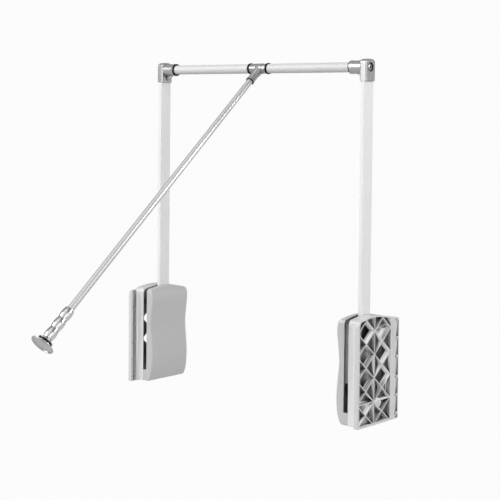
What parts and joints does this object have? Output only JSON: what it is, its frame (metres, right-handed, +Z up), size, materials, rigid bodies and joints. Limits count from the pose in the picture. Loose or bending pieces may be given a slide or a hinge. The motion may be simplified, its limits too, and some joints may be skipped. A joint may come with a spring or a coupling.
{
  "type": "pull down closet rod",
  "caption": "Wardrobe lift: two spring housings on the cabinet's sides, flat arms, a hanging rod between them and a pull rod that swings it forward and down.",
  "frame": {"origin": "in the left unit's mounting face, where the arms' pivot axis meets it", "axes": "+X along the hanging rod from the left unit to the right one, +Y to the back of the wardrobe, +Z up"},
  "size_m": [0.756, 0.7977, 0.858],
  "materials": {
    "housing_plastic": "fine grained, light grey",
    "silver_arm": "satin silver",
    "grey_casting": "grey satin lacquer on a casting",
    "black_ring": "black, smooth",
    "plain_steel": "zinc plated",
    "light_tube": "light grey, smooth",
    "white_nylon": "natural nylon",
    "satin_grip": "satin bright"
  },
  "bodies": {
    "housings": {"left_base_shell": "housing_plastic", "left_cover_shell": "housing_plastic", "left_pivot_shaft": "plain_steel", "left_base_bush": "white_nylon", "left_cover_bush": "white_nylon", "left_spring_tube": "light_tube", "left_lift_spring": "plain_steel", "right_base_shell": "housing_plastic", "right_cover_shell": "housing_plastic", "right_pivot_shaft": "plain_steel", "right_base_bush": "white_nylon", "right_cover_bush": "white_nylon", "right_spring_tube": "light_tube", "right_lift_spring": "plain_steel"},
    "swing_frame": {"left_arm_root": "plain_steel", "left_crank_roller": "white_nylon", "left_arm_tube": "silver_arm", "left_elbow": "grey_casting", "left_rod_ring": "black_ring", "left_rod_plug": "white_nylon", "left_rod_screw": "plain_steel", "left_rod_tube": "silver_arm", "right_arm_root": "plain_steel", "right_crank_roller": "white_nylon", "right_arm_tube": "silver_arm", "right_elbow": "grey_casting", "right_rod_ring": "black_ring", "right_rod_plug": "white_nylon", "right_rod_screw": "plain_steel", "right_rod_tube": "silver_arm", "rod_core": "plain_steel"},
    "left_drawbar_slide": {"left_drawbar": "plain_steel", "left_spring_plate": "plain_steel"},
    "right_drawbar_slide": {"right_drawbar": "plain_steel", "right_spring_plate": "plain_steel"},
    "pull_handle": {"collar": "grey_casting", "left_collar_washer": "black_ring", "right_collar_washer": "black_ring", "branch_ring": "black_ring", "pull_rod": "silver_arm", "grip": "satin_grip", "grip_end_disc": "satin_grip"}
  },
  "joints": [
    {"name": "arm_swing", "type": "hinge", "parent": "housings", "child": "swing_frame", "pos_m": [0.378, 0, 0], "axis": [1, 0, 0], "range_deg": [0, 80], "stiffness_Nm_per_rad": 6, "springref_deg": -68.75},
    {"name": "left_drawbar_travel", "type": "slide", "parent": "housings", "child": "left_drawbar_slide", "axis": [0, 0, -1], "range_m": [0, 0.0643], "deforming": ["left_lift_spring"]},
    {"name": "right_drawbar_travel", "type": "slide", "parent": "housings", "child": "right_drawbar_slide", "axis": [0, 0, -1], "range_m": [0, 0.0643], "deforming": ["right_lift_spring"]},
    {"name": "pull_rod_swing", "type": "hinge", "parent": "swing_frame", "child": "pull_handle", "pos_m": [0.381, -0.009, 0.7875], "axis": [1, 0, 0], "continuous": true}
  ],
  "couplings": [
    {"joint": "left_drawbar_travel", "follows": "arm_swing", "m_per_rad": 0.04604},
    {"joint": "right_drawbar_travel", "follows": "arm_swing", "m_per_rad": 0.04604}
  ]
}
